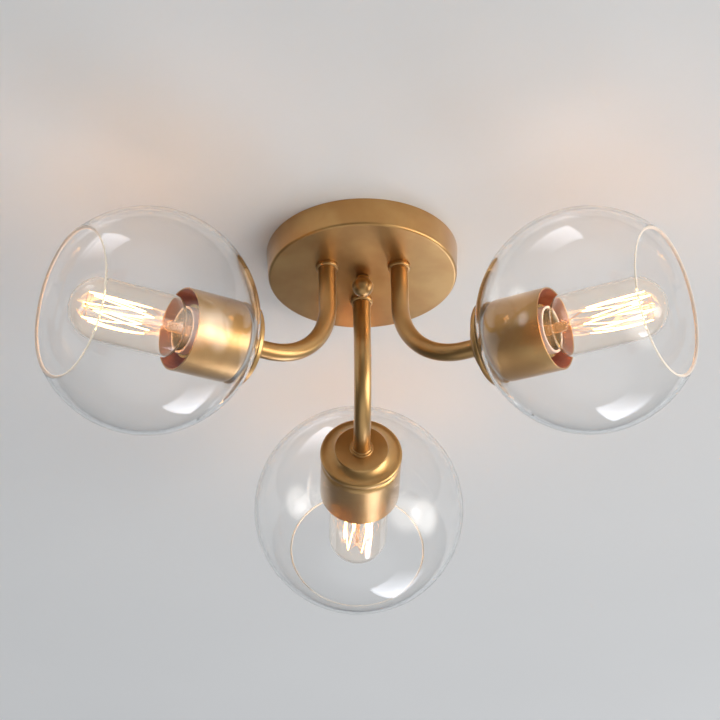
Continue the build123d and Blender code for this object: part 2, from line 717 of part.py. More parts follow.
def make_filament(side, lamp):
    """Hairpin filament: legs zigzag round the rod between two rings of short support wires."""

    def corner(step):
        front = step % 2
        turn = pi * step / FILAMENT_LOOPS
        radius = FILAMENT_OUTER if front else FILAMENT_INNER
        reach = filament_front if front else filament_back
        return lamp.from_local_coords(Vector(reach, radius * cos(turn), radius * sin(turn)))

    with BuildPart() as filament:
        for step in range(2 * FILAMENT_LOOPS):
            start = corner(step)
            leg = corner(step + 1) - start
            centre = lamp.origin + lamp.x_dir * (start - lamp.origin).dot(lamp.x_dir)
            spoke = start - centre
            rod_side = centre + spoke.normalized() * (ROD_RADIUS + CLOSE_GAP)
            with BuildSketch(Plane(rod_side, z_dir=spoke)):
                Circle(FILAMENT_RADIUS)
            extrude(amount=spoke.length - ROD_RADIUS - CLOSE_GAP)
            if step < 2 * FILAMENT_LOOPS - 1:
                with BuildSketch(Plane(start, z_dir=leg)):
                    Circle(FILAMENT_RADIUS)
                extrude(amount=leg.length)
            with Locations(start):
                Sphere(FILAMENT_RADIUS * 1.2)
    save(filament, f"{side}_filament")


os.makedirs("parts", exist_ok=True)
make_canopy()
make_crossbar()
make_ground_screw()
make_centre_stud()
make_stud_nut()
make_ball_finial()
make_arm_fasteners()
make_lamp_fasteners()
for arm_side, arm_azimuth in ARM_AZIMUTHS.items():
    arm_lamp = lamp_plane(arm_azimuth)
    make_arm_tube(arm_side, arm_azimuth)
    make_top_collar(arm_side, arm_azimuth)
    for make_piece in (
        make_end_collar,
        make_cap,
        make_globe,
        make_gasket,
        make_sleeve,
        make_spider,
        make_socket_body,
        make_socket_shell,
        make_centre_contact,
        make_bulb_insulator,
        make_bulb_base,
        make_bulb_glass,
        make_bulb_stem,
        make_filament,
    ):
        make_piece(arm_side, arm_lamp)
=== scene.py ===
"""Dresses a semi flush ceiling light: satin brass, three clear open globes and their lit filament bulbs."""

import math

import bpy
from mathutils import Matrix, Vector


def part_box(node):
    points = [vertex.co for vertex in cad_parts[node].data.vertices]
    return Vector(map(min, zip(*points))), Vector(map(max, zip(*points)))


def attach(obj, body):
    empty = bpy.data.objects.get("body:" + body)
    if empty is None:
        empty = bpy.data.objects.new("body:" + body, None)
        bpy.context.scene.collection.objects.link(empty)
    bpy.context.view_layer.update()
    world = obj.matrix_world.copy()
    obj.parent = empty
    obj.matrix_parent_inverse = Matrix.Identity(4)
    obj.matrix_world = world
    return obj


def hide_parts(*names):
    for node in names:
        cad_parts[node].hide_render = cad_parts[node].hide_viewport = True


bl_info = {
    "name": "Semi flush ceiling light",
    "version": (1, 0, 0),
    "blender": (4, 5, 0),
    "location": "View3D > Sidebar > Ceiling light",
    "description": "Models and finishes a three arm ceiling light with clear open globes",
    "category": "Object",
}

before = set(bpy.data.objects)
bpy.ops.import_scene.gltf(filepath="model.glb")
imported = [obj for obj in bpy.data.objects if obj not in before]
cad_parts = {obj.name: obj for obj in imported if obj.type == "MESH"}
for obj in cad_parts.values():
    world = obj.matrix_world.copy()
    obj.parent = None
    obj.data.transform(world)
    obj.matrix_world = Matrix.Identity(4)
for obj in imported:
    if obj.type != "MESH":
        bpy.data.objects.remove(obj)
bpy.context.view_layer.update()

# Each lamp hangs on one arm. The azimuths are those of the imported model.
ARM_AZIMUTHS = {"back": 90.0, "left": 210.0, "right": 330.0}
FULL_TURN = 2 * math.pi
MM = 0.001

canopy_low, canopy_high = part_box("canopy")
finial_low, finial_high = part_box("ball_finial")
globe_low, globe_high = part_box("back_globe")


# ---- settings ----


def length(name, description, millimetres):
    """A length property whose default is given in millimetres."""
    return bpy.props.FloatProperty(
        name=name, description=description, default=millimetres * MM, unit="LENGTH", subtype="DISTANCE", precision=5
    )


def colour(name, description, hex_value):
    """A colour property whose default is an sRGB hex value."""
    return bpy.props.FloatVectorProperty(
        name=name, description=description, default=linear(hex_value)[:3], subtype="COLOR", size=3, min=0, max=1
    )


def linear(hex_value):
    """Linear RGBA of an sRGB hex colour such as b58f52."""
    channels = [int(hex_value[i : i + 2], 16) / 255 for i in (0, 2, 4)]
    return [c / 12.92 if c <= 0.04045 else ((c + 0.055) / 1.055) ** 2.4 for c in channels] + [1.0]


class CanopySizes(bpy.types.PropertyGroup):
    radius: length("Radius", "Radius of the canopy's floor", 65.0)
    rim: length("Rim radius", "Radius at the ceiling", canopy_high.x / MM)
    height: length("Height", "From the ceiling to the canopy's floor", -canopy_low.z / MM)
    wall: length("Wall", "Thickness of the spun sheet", 1.2)
    corner: length("Corner", "Rounding of the floor's edge", 2.0)
    finial: length("Finial radius", "Radius of the ball under the canopy", finial_high.x / MM)
    finial_neck: length("Finial neck", "Radius of the ball's neck", 4.6)
    finial_bore: length("Finial bore", "Radius of the ball's threaded hole", 2.46)


class ArmSizes(bpy.types.PropertyGroup):
    circle: length("Circle radius", "Radius of the circle of arms on the canopy", 28.5)
    drop: length("Drop", "From the ceiling to the corner that the bend rounds", 101.0)
    droop: bpy.props.FloatProperty(
        name="Droop", description="How far the lamps point below level", default=math.radians(3.5), subtype="ANGLE"
    )
    bend: length("Bend radius", "Radius of the bend's centre line", 50.03)
    tube: length("Tube radius", "Outer radius of the tube", 6.0)
    wall: length("Tube wall", "Thickness of the tube", 1.0)
    end: length("End", "Reach of the tube's outer end", 89.073)


class LampSizes(bpy.types.PropertyGroup):
    globe_reach: length("Globe reach", "From the centre line of the canopy to the globe's centre", 167.5)
    globe: length("Globe radius", "Outer radius of the glass", globe_high.x / MM)
    glass: length("Glass wall", "Thickness of the globe's glass", 2.4)
    neck: length("Neck radius", "Radius of the globe's neck hole", 21.0)
    mouth: length("Mouth radius", "Radius of the globe's open mouth", 50.4)
    sleeve: length("Sleeve radius", "Outer radius of the sleeve", 27.95)
    sleeve_back: length("Sleeve back", "Reach of the sleeve's back", 100.9)
    sleeve_mouth: length("Sleeve mouth", "Reach of the sleeve's open end", 143.1)
    bulb: length("Bulb radius", "Outer radius of the bulb's tube", 21.0)
    bulb_tip: length("Bulb tip", "Reach of the bulb's domed end", 222.2)
    bulb_wall: length("Bulb wall", "Thickness of the bulb's glass", 0.9)
    thread_pitch: length("Base pitch", "Thread spacing of the medium screw base", 3.63)


class Finishes(bpy.types.PropertyGroup):
    brass_light: colour("Brass, light", "Satin brass where the lacquer is thin", "cda160")
    brass_dark: colour("Brass, dark", "Satin brass where the lacquer gathers", "be8d4c")
    ceiling: colour("Ceiling", "Ceiling paint", "eaebeb")
    filament: colour("Filament", "Glow of the filament", "ffbd72")
    filament_glow: bpy.props.FloatProperty(
        name="Filament glow", description="Strength of the filament's light", default=27.0, min=0
    )


class StageSettings(bpy.types.PropertyGroup):
    ceiling_size: bpy.props.FloatProperty(
        name="Ceiling", description="Breadth of the round ceiling", default=9.0, unit="LENGTH", subtype="DISTANCE"
    )
    world_strength: bpy.props.FloatProperty(
        name="World", description="Strength of the even light from all round", default=0.22, min=0
    )
    lens: bpy.props.FloatProperty(
        name="Lens", description="Focal length on a 36 mm frame", default=163.99, subtype="DISTANCE_CAMERA"
    )
    distance: bpy.props.FloatProperty(
        name="Distance", description="From the camera to the middle of the canopy", default=2.2715, unit="LENGTH"
    )


def settings():
    """All the settings of this scene."""
    scene = bpy.context.scene
    return scene.light_canopy, scene.light_arms, scene.light_lamps, scene.light_finishes, scene.light_stage


# ---- modelling ----


def leave_edit_mode():
    """Object mode with nothing selected."""
    if bpy.context.mode != "OBJECT":
        bpy.ops.object.mode_set(mode="OBJECT")
    bpy.ops.object.select_all(action="DESELECT")


def select_only(piece):
    """Object mode with one object selected and active."""
    leave_edit_mode()
    piece.select_set(True)
    bpy.context.view_layer.objects.active = piece


def edit(piece):
    """Edit mode on one object, with all of its mesh selected."""
    select_only(piece)
    bpy.ops.object.mode_set(mode="EDIT")
    bpy.ops.mesh.select_all(action="SELECT")


def weld(threshold=1e-6):
    """Joins the points of the edited mesh that lie together, and leaves all of it selected."""
    bpy.ops.mesh.select_all(action="SELECT")
    bpy.ops.mesh.remove_doubles(threshold=threshold)
    bpy.ops.mesh.select_all(action="SELECT")


def face_outwards():
    """Turns the faces of the edited mesh outwards, and goes back to object mode."""
    bpy.ops.mesh.select_all(action="SELECT")
    bpy.ops.mesh.normals_make_consistent(inside=False)
    leave_edit_mode()


def pull(way):
    """Extrudes the selected part of the edited mesh by a vector in metres."""
    bpy.ops.mesh.extrude_region_move(TRANSFORM_OT_translate={"value": way})


def swing(centre, start, end, steps):
    """Points round a centre, from one offset to another of the same length."""
    first, last = start.normalized(), end.normalized()
    return [tuple((centre + first.slerp(last, k / steps) * start.length)[:2]) for k in range(steps + 1)]


def rounded(corners, steps=5):
    """Points of a profile whose corners are given as (radius, height) or (radius, height, rounding)."""
    points = []
    for i, (x, z, *rounding) in enumerate(corners):
        here = Vector((x, z, 0))
        if not rounding:
            points.append((x, z))
            continue
        before = (Vector((*corners[i - 1][:2], 0)) - here).normalized()
        after = (Vector((*corners[(i + 1) % len(corners)][:2], 0)) - here).normalized()
        half = before.angle(after) / 2
        centre = here + (before + after).normalized() * rounding[0] / math.sin(half)
        start = here + before * rounding[0] / math.tan(half) - centre
        end = here + after * rounding[0] / math.tan(half) - centre
        points += swing(centre, start, end, steps)
    return points


def arc(centre, radius, start, end, steps):
    """Points round a centre on the axis. Angles are in degrees from the forward direction."""
    turns = [math.radians(start + (end - start) * k / steps) for k in range(steps + 1)]
    return [(radius * math.sin(a), centre + radius * math.cos(a)) for a in turns]


def arc_through(first, middle, last, steps):
    """Points of the arc through three points of a profile."""
    (ax, ay), (bx, by), (cx, cy) = first, middle, last
    d = 2 * (ax * (by - cy) + bx * (cy - ay) + cx * (ay - by))
    a2, b2, c2 = ax * ax + ay * ay, bx * bx + by * by, cx * cx + cy * cy
    x = (a2 * (by - cy) + b2 * (cy - ay) + c2 * (ay - by)) / d
    y = (a2 * (cx - bx) + b2 * (ax - cx) + c2 * (bx - ax)) / d
    centre = Vector((x, y, 0))
    return swing(centre, Vector((ax, ay, 0)) - centre, Vector((cx, cy, 0)) - centre, steps)


def draw_line(name, points):
    """A chain of edges through points in metres, drawn by extruding one vertex, left in edit mode."""
    leave_edit_mode()
    bpy.ops.mesh.primitive_plane_add(size=MM)
    piece = bpy.context.object
    piece.name = name
    bpy.ops.object.mode_set(mode="EDIT")
    bpy.ops.mesh.select_mode(type="VERT")
    bpy.ops.mesh.select_all(action="SELECT")
    bpy.ops.mesh.merge(type="CENTER")
    bpy.ops.transform.translate(value=points[0])
    for here, there in zip(points, points[1:]):
        bpy.ops.mesh.extrude_vertices_move(TRANSFORM_OT_translate={"value": Vector(there) - Vector(here)})
    return piece


def turn(name, profile, steps, closed=True):
    """Spins a profile of (radius, height) points in millimetres round the z axis, as on a lathe."""
    loop = list(profile) + [profile[0]] if closed else profile
    piece = draw_line(name, [(r * MM, 0, z * MM) for r, z in loop])
    weld()
    bpy.ops.mesh.spin(steps=steps, angle=FULL_TURN, center=(0, 0, 0), axis=(0, 0, 1))
    weld()
    face_outwards()
    return piece


def apply_modifier(piece, kind, **values):
    """Adds a modifier with its settings and applies it."""
    select_only(piece)
    bpy.ops.object.modifier_add(type=kind)
    modifier = piece.modifiers[-1]
    for key, value in values.items():
        setattr(modifier, key, value)
    bpy.ops.object.modifier_apply(modifier=modifier.name)


def smooth(piece, angle=35):
    """Smooth shading with sharp edges past an angle."""
    select_only(piece)
    bpy.ops.object.shade_smooth_by_angle(angle=math.radians(angle))


def threaded(name, crest, root, pitch, back, front):
    """An open threaded tube between two heights, in millimetres, cut square at both ends."""
    waves, steps = 10, 48
    # a part of a turn off, so that no point of the thread lies in the planes of the two cuts
    start = back - 2.013 * pitch
    profile = []
    for k in range(waves + 1):
        swell = (1 + math.cos(FULL_TURN * k / waves)) / 2
        profile.append(((root + (crest - root) * swell) * MM, 0, (start + pitch * k / waves) * MM))
    piece = draw_line(name, profile)
    apply_modifier(
        piece,
        "SCREW",
        angle=FULL_TURN,
        screw_offset=pitch * MM,
        iterations=math.ceil((front - back) / pitch) + 3,
        steps=steps,
        render_steps=steps,
        use_merge_vertices=True,
        merge_threshold=1e-6,
    )
    edit(piece)
    weld(2e-6)
    for height, side in ((back, 1), (front, -1)):
        bpy.ops.mesh.select_all(action="SELECT")
        bpy.ops.mesh.bisect(plane_co=(0, 0, height * MM), plane_no=(0, 0, side), clear_inner=True)
    weld(4e-5)
    face_outwards()
    return piece


def lamp_matrix(azimuth):
    """From a lamp's own axes, z along it and x down, to its place on the arm at an azimuth."""
    arms = bpy.context.scene.light_arms
    x, z = arms.circle * (1 - math.cos(arms.droop)), arms.circle * math.sin(arms.droop) - arms.drop
    start = Vector((x, 0, z))
    lie_down = Matrix.Rotation(math.pi / 2 + arms.droop, 4, "Y")
    return Matrix.Rotation(math.radians(azimuth), 4, "Z") @ Matrix.Translation(start) @ lie_down


def arm_matrix(azimuth):
    """From an upright arm's own axes, x outwards and z up, to its place at an azimuth."""
    return Matrix.Rotation(math.radians(azimuth), 4, "Z")


def put(piece, matrix):
    """Moves a piece to its place and puts the place into its mesh."""
    piece.matrix_world = matrix @ piece.matrix_world
    select_only(piece)
    bpy.ops.object.transform_apply(location=True, rotation=True, scale=True)


def finish_piece(piece, body, material, nodes=()):
    """Gives a piece its finish, body and slot, and hides the nodes that it stands for."""
    piece.data.materials.clear()
    piece.data.materials.append(material)
    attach(piece, body)
    if nodes:
        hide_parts(*nodes)


def repeat_on_arms(master, name, body, slot, material, nodes=(), matrix=lamp_matrix):
    """Copies a piece to each arm, each copy with its own mesh. {side} stands for the arm's name."""
    names = []
    for side, azimuth in ARM_AZIMUTHS.items():
        select_only(master)
        bpy.ops.object.duplicate(linked=False)
        copy = bpy.context.object
        copy.name = f"{side}_{name}"
        put(copy, matrix(azimuth))
        finish_piece(copy, body.format(side=side), material, [n.format(side=side) for n in nodes])
        names.append(copy.name)
    bpy.data.objects.remove(master)
    return names


def finish_faces(names, faces, material):
    """Gives some faces of each named piece a second finish."""
    for name in names:
        mesh = bpy.data.objects[name].data
        mesh.materials.append(material)
        for index in faces:
            mesh.polygons[index].material_index = 1


# ---- finishes ----


def add_node(tree, kind, values=None, links=None, stops=None):
    """Adds a node, sets its properties and inputs, links inputs from (node, output) and sets two ramp stops."""
    made = tree.nodes.new(kind)
    for key, value in (values or {}).items():
        if isinstance(key, int) or key in made.inputs:
            made.inputs[key].default_value = value
        else:
            setattr(made, key, value)
    for key, (source, output) in (links or {}).items():
        tree.links.new(source.outputs[output], made.inputs[key])
    for k, (position, shade) in enumerate(stops or []):
        made.color_ramp.elements[k].position = position
        made.color_ramp.elements[k].color = shade
    return made


def feed(tree, source, node, name):
    """Links a (node, output) to an input."""
    tree.links.new(source[0].outputs[source[1]], node.inputs[name])


def maths(tree, operation, first, second):
    """A maths node whose two inputs are numbers or (node, output), given as its own (node, output)."""
    links = {k: v for k, v in enumerate((first, second)) if isinstance(v, tuple)}
    numbers = {k: v for k, v in enumerate((first, second)) if k not in links}
    return add_node(tree, "ShaderNodeMath", {"operation": operation, **numbers}, links), "Value"


def carry(tree, source, start, end, low=0.0, high=1.0, ease="LINEAR"):
    """Carries a value from one range to another, and keeps it there. Gives (node, output)."""
    values = {"From Min": start, "From Max": end, "To Min": low, "To Max": high, "interpolation_type": ease}
    return add_node(tree, "ShaderNodeMapRange", values, {"Value": source}), "Result"


def noise(tree, place, size, detail):
    """Noise patches of a real size in metres. Gives (node, output)."""
    values = {"Scale": 1 / size, "Detail": detail}
    return add_node(tree, "ShaderNodeTexNoise", values, {"Vector": (place, "Object")}), "Fac"


def dent(tree, shader, relief, height):
    """Raises and lowers the surface by a relief, to a height in metres."""
    bump = add_node(tree, "ShaderNodeBump", {"Strength": 1.0, "Distance": height}, {"Height": relief})
    feed(tree, (bump, "Normal"), shader, "Normal")


def mix_surface(tree, factor, first, second):
    """Shows the first shader at 0 and the second at 1, all given as (node, output). Gives the output node."""
    both = add_node(tree, "ShaderNodeMixShader", links={"Fac": factor, 1: first, 2: second})
    output = next(n for n in tree.nodes if n.type == "OUTPUT_MATERIAL")
    feed(tree, (both, "Shader"), output, "Surface")
    return output


def empty_tree(block):
    """The node tree of a new material or world, emptied."""
    block.use_nodes = True
    block.node_tree.nodes.clear()
    return block.node_tree


def start_material(name, **inputs):
    """A material with a Principled shader. Inputs are the shader's own constants, with _ for a space."""
    material = bpy.data.materials.new(name)
    tree = empty_tree(material)
    shader = add_node(tree, "ShaderNodeBsdfPrincipled", {k.replace("_", " "): v for k, v in inputs.items()})
    add_node(tree, "ShaderNodeOutputMaterial", links={"Surface": (shader, "BSDF")})
    place = add_node(tree, "ShaderNodeTexCoord")
    return material, tree, shader, place


def mottle(tree, place, shader, size, shades, roughness, grain=None, height=0.0):
    """Patches of a size in metres vary the colour. A finer grain varies the roughness and the relief."""
    stops = [(0.35, shades[0]), (0.65, shades[1])]
    tint = add_node(tree, "ShaderNodeValToRGB", links={"Fac": noise(tree, place, size, 3.0)}, stops=stops)
    feed(tree, (tint, "Color"), shader, "Base Color")
    fine = noise(tree, place, grain or size, 2.0)
    feed(tree, carry(tree, fine, 0.3, 0.7, *roughness), shader, "Roughness")
    if height:
        dent(tree, shader, fine, height)


def mottled(name, size, shades, roughness, grain=None, height=0.0, **inputs):
    """A mottled material of two sRGB shades. Further inputs are constants of its shader."""
    material, tree, shader, place = start_material(name, **inputs)
    mottle(tree, place, shader, size, [linear(shade) for shade in shades], roughness, grain, height)
    return material


def satin_brass():
    """Brass plated steel, blasted to a satin and lacquered: soft broad highlights and a faint grit."""
    finishes = bpy.context.scene.light_finishes
    lacquer = {"Metallic": 1.0, "Coat_Weight": 1.0, "Coat_Roughness": 0.3}
    material, tree, shader, place = start_material("satin_brass_lacquered", **lacquer)
    shades = ([*finishes.brass_dark, 1], [*finishes.brass_light, 1])
    # the grit is 0.15 mm in the real finish, drawn at 0.5 mm so that it shows
    mottle(tree, place, shader, 0.03, shades, (0.31, 0.4), grain=0.0005, height=0.000012)
    return material


def zinc_steel():
    """Bright zinc on rolled steel: cool grey with a faint spangle."""
    return mottled("zinc_plated_steel", 0.004, ("a9abad", "c4c6c6"), (0.28, 0.42), 0.0012, 0.00001, Metallic=1.0)


def green_passivate():
    """Green passivated steel of an earth screw."""
    shades = ("1f7a3c", "2f9a52")
    return mottled("green_passivated_steel", 0.003, shades, (0.3, 0.4), 0.0008, 0.00001, Metallic=0.7)


def bare_brass():
    """Drawn brass strip, unlacquered: brighter and yellower than the satin parts."""
    return mottled("drawn_brass", 0.006, ("c8a357", "dcbd77"), (0.22, 0.34), 0.0007, 0.000008, Metallic=1.0)


def painted_warm_inside():
    """Unlacquered inside of a drawn sleeve: duller than the outside, so that it catches lamp light, and painted
    coppery for the warm lamp light that it reflects.
    """
    return mottled("sleeve_inside_painted_warm_light", 0.008, ("a8603f", "c07a52"), (0.42, 0.55), 0.0008, 0.00001, Metallic=0.45)


def bulb_shell():
    """Rolled nickel brass of a bulb's screw base: pale, with fine rolling marks."""
    return mottled("rolled_nickel_brass", 0.005, ("b8ab8c", "d3c8ab"), (0.24, 0.36), 0.0006, 0.00001, Metallic=1.0)


def porcelain():
    """Glazed porcelain socket: warm white, smooth glaze over a slightly wavy body."""
    glaze = {"Metallic": 0.0, "IOR": 1.5, "Coat_Weight": 0.5, "Coat_Roughness": 0.08}
    return mottled("glazed_porcelain", 0.012, ("ddd0c6", "e9dfd6"), (0.3, 0.42), 0.003, 0.00002, **glaze)


def silicone():
    """Translucent moulded silicone: milky and matt, with light going a little way in."""
    milk = {"Metallic": 0.0, "IOR": 1.41, "Subsurface_Weight": 0.4, "Subsurface_Radius": (0.002, 0.002, 0.002)}
    return mottled("moulded_silicone", 0.006, ("cfcfca", "dedfda"), (0.45, 0.6), 0.0015, 0.00001, **milk)


def dark_glass():
    """Dark fused glass insulator of the bulb's base."""
    body = {"Metallic": 0.0, "IOR": 1.52}
    return mottled("fused_dark_glass", 0.004, ("101014", "1c1b20"), (0.12, 0.25), 0.001, 0.00002, **body)


def glass(name, tint, index, ripple_size, ripple_height, absorb="", density=0.0):
    """Clear glass with the slow ripple of blowing. Its body can take a little light, most at grazing edges."""
    clear = {"Metallic": 0.0, "IOR": index, "Roughness": 0.0, "Transmission_Weight": 1.0, "Base_Color": linear(tint)}
    material, tree, shader, place = start_material(name, **clear)
    dent(tree, shader, noise(tree, place, ripple_size, 1.0), ripple_height)
    # light from lamps passes through, as it does through clear glass, without caustics
    path = add_node(tree, "ShaderNodeLightPath")
    open_way = add_node(tree, "ShaderNodeBsdfTransparent", {"Color": linear("fdfdfd")})
    output = mix_surface(tree, (path, "Is Shadow Ray"), (shader, "BSDF"), (open_way, "BSDF"))
    if density:
        body = add_node(tree, "ShaderNodeVolumeAbsorption", {"Color": linear(absorb), "Density": density})
        feed(tree, (body, "Volume"), output, "Volume")
    return material


def paint_glow(material, painted_glow_colour, strength):
    """Paints into a piece near the hot filament, as emission, the faint glow of lamp light that it holds or gives
    off: painted light, for the piece is no lamp.
    """
    shader = next(n for n in material.node_tree.nodes if n.type == "BSDF_PRINCIPLED")
    shader.inputs["Emission Color"].default_value = linear(painted_glow_colour)
    shader.inputs["Emission Strength"].default_value = strength


def fire_polished_lip_painted_glow():
    """Lip of a blown globe, softened in the flame: painted pale and warm, with a painted faint glow, for the light
    that it gathers from the glass wall.
    """
    material, tree, shader, place = start_material("fire_polished_lip_painted_glow", Metallic=0.0, IOR=1.5)
    # painted light: these pale warm shades and the glow below stand for light gathered from the wall
    shades = (linear("e2d6ca"), linear("efe6dc"))
    mottle(tree, place, shader, 0.02, shades, (0.1, 0.2), grain=0.004, height=0.000005)
    paint_glow(material, "ffe8d6", 0.42)
    edge = add_node(tree, "ShaderNodeLayerWeight", {"Blend": 0.35})
    cover = carry(tree, (edge, "Facing"), 0.0, 1.0, 0.4, 0.85)
    clear = add_node(tree, "ShaderNodeBsdfTransparent", {"Color": linear("dfe6dc")})
    mix_surface(tree, cover, (clear, "BSDF"), (shader, "BSDF"))
    return material


def glowing_filament():
    """Incandescent coiled tungsten: hottest in mid leg, so its glow varies along the wire."""
    finishes = bpy.context.scene.light_finishes
    glow = {"Metallic": 0.0, "Emission_Strength": finishes.filament_glow}
    material, tree, shader, place = start_material("glowing_tungsten", **glow)
    hot = [*finishes.filament, 1]
    cooler = [hot[0], hot[1] * 0.8, hot[2] * 0.6, 1]
    patches = noise(tree, place, 0.006, 1.0)
    tint = add_node(tree, "ShaderNodeValToRGB", links={"Fac": patches}, stops=[(0.3, cooler), (0.7, hot)])
    for name in ("Emission Color", "Base Color"):
        feed(tree, (tint, "Color"), shader, name)
    return material


def support_wire():
    """Molybdenum support wire: dark grey and half bright, with a dull orange glow painted on, as from the filament's
    heat.
    """
    material = mottled("molybdenum_wire", 0.002, ("8a7a68", "b39a7a"), (0.3, 0.45), Metallic=1.0)
    # painted glow: the wire gives off a faint orange light though it is no lamp
    paint_glow(material, "ff9440", 0.5)
    return material


def ceiling_paint():
    """Matt ceiling paint rolled on smooth plaster. It shows only from below, so that it hides nothing from above."""
    base = list(bpy.context.scene.light_finishes.ceiling)
    shades = ([*(c * 0.97 for c in base), 1], [*base, 1])
    material, tree, shader, place = start_material("matt_ceiling_paint", Metallic=0.0)
    mottle(tree, place, shader, 0.35, shades, (0.85, 0.95), grain=0.0022, height=0.00002)
    side = add_node(tree, "ShaderNodeNewGeometry")
    clear = add_node(tree, "ShaderNodeBsdfTransparent")
    mix_surface(tree, (side, "Backfacing"), (shader, "BSDF"), (clear, "BSDF"))
    return material


def finish(name, maker):
    """A material by name, made the first time that it is asked for."""
    return bpy.data.materials.get(name) or maker()


def brass_finish():
    """The satin brass that most of the light is made of."""
    return finish("satin_brass_lacquered", satin_brass)


# ---- operators ----


class LIGHT_OT_canopy(bpy.types.Operator):
    """Spins the canopy pan and drills its arm holes"""

    bl_idname = "ceiling_light.canopy"
    bl_label = "Canopy"

    def execute(self, context):
        canopy, arms = settings()[:2]
        floor, wall, corner = -canopy.height / MM, canopy.wall / MM, canopy.corner / MM
        radius, rim = canopy.radius / MM, canopy.rim / MM
        stud_hole, arm_hole = 2.7, 10.5
        corners = [(stud_hole, floor, 0.15), (radius, floor, corner), (rim, 0, 0.2), (rim - wall, 0, 0.2)]
        corners += [(radius - wall, floor + wall, corner - wall), (stud_hole, floor + wall, 0.15)]
        pan = turn("canopy_pan", rounded(corners, steps=6), steps=160)
        for azimuth in ARM_AZIMUTHS.values():
            place = arm_matrix(azimuth) @ Vector((arms.circle, 0, -canopy.height))
            leave_edit_mode()
            bpy.ops.mesh.primitive_cylinder_add(vertices=48, radius=arm_hole * MM / 2, depth=0.01, location=place)
            drill = bpy.context.object
            apply_modifier(pan, "BOOLEAN", operation="DIFFERENCE", object=drill, solver="EXACT")
            bpy.data.objects.remove(drill)
        smooth(pan, 30)
        finish_piece(pan, "fixture", brass_finish(), ["canopy"])
        return {"FINISHED"}


class LIGHT_OT_finial(bpy.types.Operator):
    """Turns the ball finial with its neck and threaded hole"""

    bl_idname = "ceiling_light.finial"
    bl_label = "Ball finial"

    def execute(self, context):
        canopy = settings()[0]
        radius, neck, bore = canopy.finial / MM, canopy.finial_neck / MM, canopy.finial_bore / MM
        top = finial_high.z / MM
        centre = finial_low.z / MM + radius
        meet = math.degrees(math.asin(neck / radius))
        depth, thread, chamfer, ease = 10.5, 10.2, 0.3, 0.25
        profile = [(0, top - depth), (bore, top - thread), (bore, top - chamfer), (bore + chamfer, top)]
        profile += [(neck - ease, top), (neck, top - ease)]
        profile += arc(centre, radius, meet, 180, 40)
        ball = turn("finial_ball", profile, steps=72, closed=False)
        smooth(ball, 40)
        finish_piece(ball, "finial", brass_finish(), ["ball_finial"])
        return {"FINISHED"}


class LIGHT_OT_arms(bpy.types.Operator):
    """Bends the three arm tubes and turns the collars at both of their ends"""

    bl_idname = "ceiling_light.arms"
    bl_label = "Arms"

    def execute(self, context):
        canopy, arms = settings()[:2]
        seat_gap = 0.05 * MM
        top = -canopy.height - seat_gap
        angle = math.pi / 2 - arms.droop
        tangent = arms.bend * math.tan(angle / 2)
        bend_start = -arms.drop + tangent
        leave_edit_mode()
        bpy.ops.mesh.primitive_circle_add(vertices=48, radius=arms.tube, location=(arms.circle, 0, top))
        tube = bpy.context.object
        tube.name = "tube"
        bpy.ops.object.transform_apply(location=True)
        edit(tube)
        pull((0, 0, bend_start - top))
        centre = (arms.circle + arms.bend, 0, bend_start)
        bpy.ops.mesh.spin(steps=40, angle=angle, center=centre, axis=(0, 1, 0))
        run = arms.end - arms.circle - tangent
        pull(Vector((math.cos(arms.droop), 0, -math.sin(arms.droop))) * run)
        weld()
        face_outwards()
        apply_modifier(tube, "SOLIDIFY", thickness=arms.wall, offset=-1, use_even_offset=True)
        smooth(tube)
        brass = ("fixture", "satin_brass", brass_finish())
        repeat_on_arms(tube, "tube", *brass, ["{side}_arm_tube"], matrix=arm_matrix)

        bore, outer, lip, foot = arms.tube / MM + 0.05, 7.8, top / MM, top / MM - 3.0
        corners = [(bore, foot, 0.2), (outer, foot, 1.25), (outer, lip, 0.2), (bore, lip)]
        collar = turn("collar", rounded(corners), steps=64)
        put(collar, Matrix.Translation((arms.circle, 0, 0)))
        smooth(collar, 40)
        repeat_on_arms(collar, "canopy_collar", *brass, ["{side}_top_collar"], matrix=arm_matrix)

        end, ledge, foot = arms.end / MM, arms.end / MM - 1.6, arms.end / MM - 3.2
        neck, flange = 6.9, 8.2
        corners = [(bore, foot, 0.2), (neck, foot, 0.7), (neck, ledge, 0.12)]
        corners += [(flange, ledge, 0.7), (flange, end, 0.15), (bore, end)]
        ring = turn("ring", rounded(corners), steps=64)
        smooth(ring, 40)
        repeat_on_arms(ring, "cap_collar", *brass, ["{side}_end_collar"])
        return {"FINISHED"}


class LIGHT_OT_caps(bpy.types.Operator):
    """Spins the three caps: flat disc, hollow cove and rolled rim"""

    bl_idname = "ceiling_light.caps"
    bl_label = "Caps"

    def execute(self, context):
        face, back, brim, rim = 89.123, 90.623, 93.923, 97.323
        nipple, disc, edge, inner, ease = 5.25, 18.2, 28.8, 27.3, 0.15
        outside = [(nipple, face), (disc, face), (disc + 0.35, face + 0.1), (disc + 0.55, face + 0.4)]
        outside += arc_through((disc + 0.65, face + 0.8), (22.2, brim - 1.3), (26.9, brim - 0.05), 14)
        outside += arc_through((27.15, brim), (28.3, brim + 0.5), (edge, brim + 1.7), 8)
        inside = [(edge, rim - ease), (edge - ease, rim), (inner + ease, rim), (inner, rim - ease)]
        inside += [(inner, brim + 1.5), (22.9, brim + 1.5), (17.2, back), (nipple, back)]
        cap = turn("cap", outside + inside, steps=128)
        smooth(cap, 40)
        repeat_on_arms(cap, "spun_cap", "fixture", "satin_brass", brass_finish(), ["{side}_cap"])
        return {"FINISHED"}


